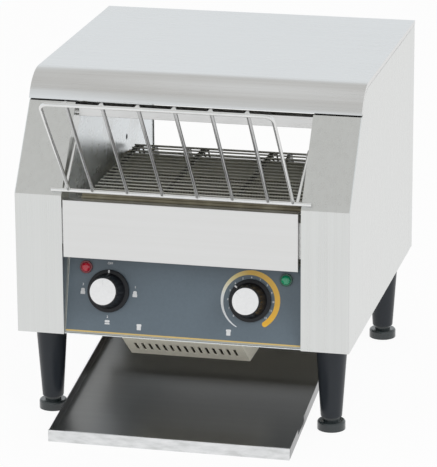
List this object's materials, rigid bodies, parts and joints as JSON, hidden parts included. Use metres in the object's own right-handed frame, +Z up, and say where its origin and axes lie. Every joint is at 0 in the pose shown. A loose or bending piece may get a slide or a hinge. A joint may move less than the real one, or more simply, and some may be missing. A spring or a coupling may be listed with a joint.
{
  "type": "conveyor toaster",
  "caption": "Counter-top conveyor toaster: steel body on legs with a wire feed rack, wire belt, control knobs, slotted duct and sloping toast tray.",
  "frame": {"origin": "on the counter, under the middle of the outline", "axes": "+Z up, +Y from the knobs to the rear panel, +X to the right for someone facing the knobs"},
  "size_m": [0.368, 0.5182, 0.3901],
  "materials": {
    "casing_steel": "fine vertical or lengthwise brushing, satin",
    "panel_steel": "satin edge under the film",
    "panel_film": "printed slate-grey film with white and yellow marks",
    "inner_steel": "mill finish, heat-toned",
    "lip_steel": "dark, heat-toned",
    "tray_steel": "dark brushed floor, bright lip",
    "quartz": "clear quartz with a coil inside",
    "ceramic": "unglazed ceramic",
    "belt_steel": "bare wire, heat-toned",
    "shaft_steel": "turned",
    "sprocket_steel": "stamped",
    "bush_bronze": "sintered bronze",
    "motor_case": "cast and drawn",
    "switch_plastic": "moulded",
    "fan_plastic": "moulded",
    "knob_plastic": "glossy moulded",
    "cap_white": "flat white insert",
    "red_bezel": "moulded ring",
    "red_lens": "clear red dome",
    "green_bezel": "moulded ring",
    "green_lens": "clear green dome",
    "rack_chrome": "bright plated wire",
    "leg_plastic": "satin moulded",
    "foot_plastic": "satin moulded",
    "fastener_steel": "zinc plated",
    "gland_plastic": "moulded nylon"
  },
  "bodies": {
    "chassis": {"left_side_panel": "casing_steel", "right_side_panel": "casing_steel", "top_hood": "casing_steel", "rear_panel": "casing_steel", "fascia_plate": "casing_steel", "front_top_rail": "casing_steel", "control_panel": "panel_steel", "panel_overlay": "panel_film", "left_inner_wall": "inner_steel", "right_inner_wall": "inner_steel", "base_plate": "inner_steel", "vent_duct": "inner_steel", "heat_shield": "inner_steel", "toast_slide": "inner_steel", "upper_reflector": "inner_steel", "lower_heater_pan": "inner_steel", "tray_guides": "inner_steel", "entry_lip": "lip_steel", "quartz_tubes": "quartz", "tube_caps": "ceramic", "conveyor_belt": "belt_steel", "drive_chain": "sprocket_steel", "shaft_bushes": "bush_bronze", "gear_motor": "motor_case", "selector_switch": "switch_plastic", "speed_regulator": "switch_plastic", "fan_frame": "fan_plastic", "red_lamp_bezel": "red_bezel", "red_lamp_lens": "red_lens", "green_lamp_bezel": "green_bezel", "green_lamp_lens": "green_lens", "front_left_leg": "leg_plastic", "front_right_leg": "leg_plastic", "rear_left_leg": "leg_plastic", "rear_right_leg": "leg_plastic", "leg_bolts": "fastener_steel", "case_screws": "fastener_steel", "cable_gland": "gland_plastic"},
    "front_belt_shaft": {"front_shaft": "shaft_steel", "front_belt_sprockets": "sprocket_steel", "driven_sprocket": "sprocket_steel"},
    "rear_belt_shaft": {"rear_shaft": "shaft_steel", "rear_belt_sprockets": "sprocket_steel"},
    "motor_output": {"motor_shaft": "shaft_steel", "motor_sprocket": "sprocket_steel"},
    "fan": {"fan_rotor": "fan_plastic"},
    "selector": {"selector_spindle": "shaft_steel", "selector_knob": "knob_plastic", "selector_knob_cap": "cap_white"},
    "speed": {"speed_spindle": "shaft_steel", "speed_knob": "knob_plastic", "speed_knob_cap": "cap_white"},
    "tray": {"collection_tray": "tray_steel"},
    "rack": {"rack_guard_frame": "rack_chrome", "rack_guard_rods": "rack_chrome", "rack_base": "rack_chrome"},
    "front_left_adjuster": {"front_left_foot": "foot_plastic"},
    "front_right_adjuster": {"front_right_foot": "foot_plastic"},
    "rear_left_adjuster": {"rear_left_foot": "foot_plastic"},
    "rear_right_adjuster": {"rear_right_foot": "foot_plastic"}
  },
  "joints": [
    {"name": "front_shaft_spin", "type": "hinge", "parent": "chassis", "child": "front_belt_shaft", "pos_m": [0, -0.11088, 0.22], "axis": [-1, 0, 0], "continuous": true},
    {"name": "rear_shaft_spin", "type": "hinge", "parent": "chassis", "child": "rear_belt_shaft", "pos_m": [0, 0.12512, 0.22], "axis": [-1, 0, 0], "continuous": true},
    {"name": "motor_spin", "type": "hinge", "parent": "chassis", "child": "motor_output", "pos_m": [0.1414, -0.06888, 0.141], "axis": [-1, 0, 0], "continuous": true},
    {"name": "fan_spin", "type": "hinge", "parent": "chassis", "child": "fan", "pos_m": [0, -0.09888, 0.108], "axis": [0, 0, 1], "continuous": true},
    {"name": "selector_turn", "type": "hinge", "parent": "chassis", "child": "selector", "pos_m": [-0.0844, -0.1387, 0.14845], "axis": [0, -0.9613, 0.2756], "range_deg": [-270, 0]},
    {"name": "speed_turn", "type": "hinge", "parent": "chassis", "child": "speed", "pos_m": [0.073, -0.1387, 0.14845], "axis": [0, -0.9613, 0.2756], "range_deg": [-198, 102]},
    {"name": "tray_slide", "type": "slide", "parent": "chassis", "child": "tray", "axis": [0, -1, 0], "range_m": [0, 0.3]},
    {"name": "rack_lift", "type": "slide", "parent": "chassis", "child": "rack", "axis": [0, -0.8065, 0.5912], "range_m": [0, 0.08]},
    {"name": "front_left_foot_screw", "type": "slide", "parent": "chassis", "child": "front_left_adjuster", "axis": [0, 0, -1], "range_m": [0, 0.012]},
    {"name": "front_right_foot_screw", "type": "slide", "parent": "chassis", "child": "front_right_adjuster", "axis": [0, 0, -1], "range_m": [0, 0.012]},
    {"name": "rear_left_foot_screw", "type": "slide", "parent": "chassis", "child": "rear_left_adjuster", "axis": [0, 0, -1], "range_m": [0, 0.012]},
    {"name": "rear_right_foot_screw", "type": "slide", "parent": "chassis", "child": "rear_right_adjuster", "axis": [0, 0, -1], "range_m": [0, 0.012]}
  ],
  "couplings": [
    {"joint": "rear_shaft_spin", "follows": "front_shaft_spin", "ratio": 1},
    {"joint": "motor_spin", "follows": "front_shaft_spin", "ratio": 1.6667}
  ]
}
